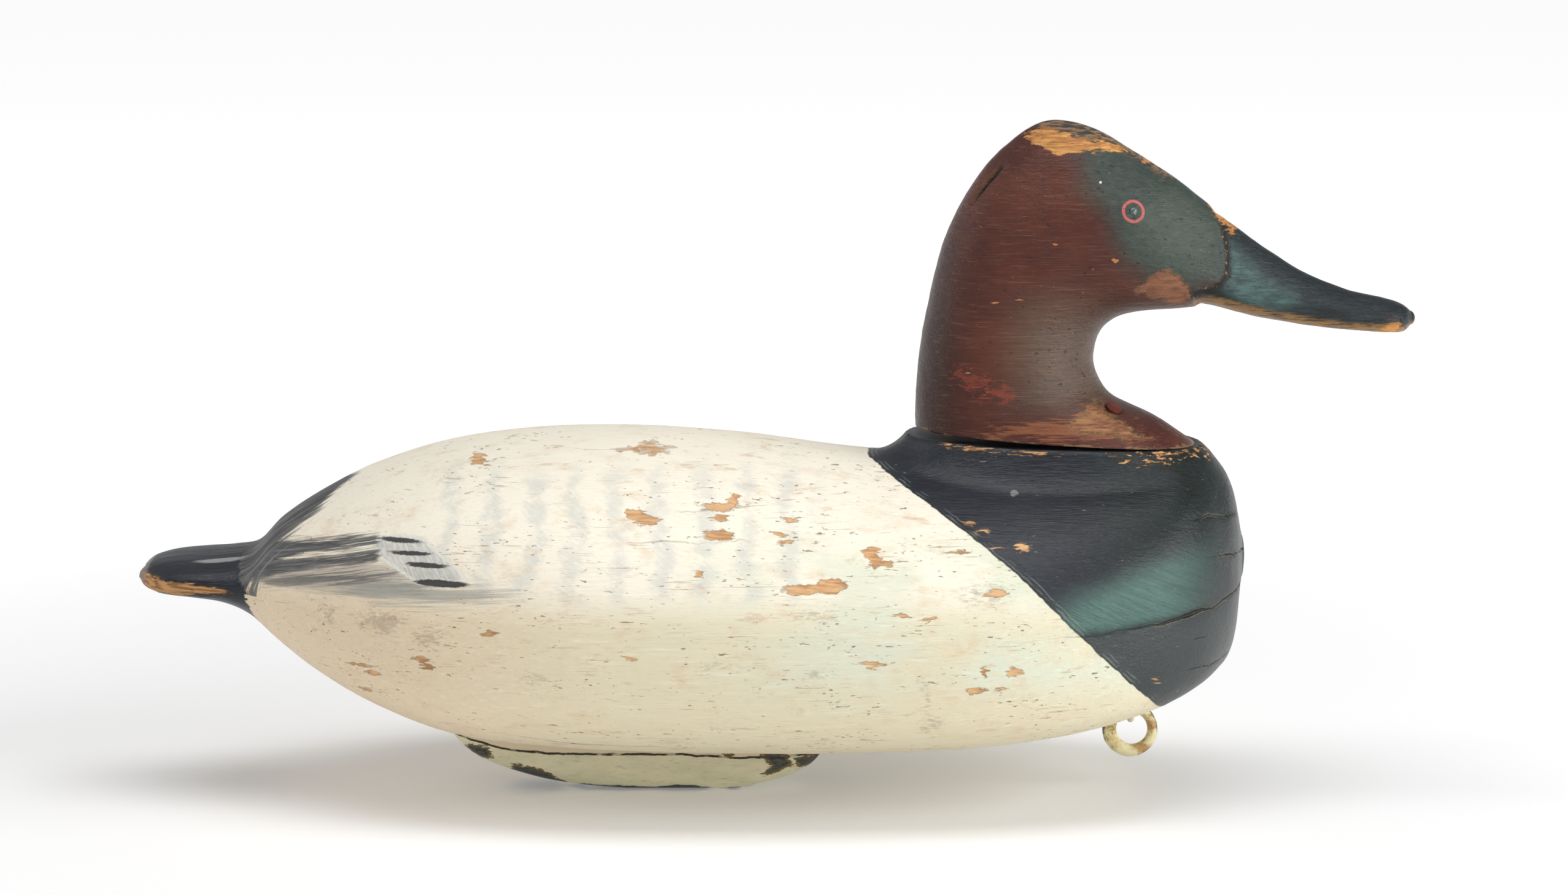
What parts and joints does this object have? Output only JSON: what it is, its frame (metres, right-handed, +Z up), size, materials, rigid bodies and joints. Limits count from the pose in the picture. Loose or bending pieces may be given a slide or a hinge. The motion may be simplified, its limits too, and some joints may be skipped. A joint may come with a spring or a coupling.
{
  "type": "floating duck decoy",
  "caption": "Carved and painted wooden diving-duck decoy with a nailed-on head, a cast keel weight and a swinging ring in a staple for an anchor line.",
  "frame": {"origin": "under the middle of the overall box, at the level of the keel's flat underside", "axes": "+X to the bill, +Y to the duck's left, +Z up as it floats"},
  "size_m": [0.3937, 0.1654, 0.208],
  "materials": {
    "body_paint": "old oil paint on carved wood, cream with a black breast and tail",
    "head_paint": "old oil paint on carved wood, red-brown with a grey-green face and bill",
    "filler": "painted wood filler",
    "tack_paint": "painted over",
    "keel_paint": "pale painted cast lead, chipped to bare metal",
    "iron": "rusted iron wire and fasteners",
    "ring_paint": "iron with worn cream paint and rust"
  },
  "bodies": {
    "decoy": {"body": "body_paint", "head": "head_paint", "head_nails": "iron", "nail_plugs": "filler", "eye_tacks": "tack_paint", "keel_weight": "keel_paint", "keel_screws": "iron", "line_staple": "iron"},
    "ring": {"line_ring": "ring_paint"}
  },
  "joints": [
    {"name": "ring_swing", "type": "hinge", "parent": "decoy", "child": "ring", "pos_m": [0.1098, 0, 0.02165], "axis": [0, 1, 0], "range_deg": [-65, 30]}
  ]
}
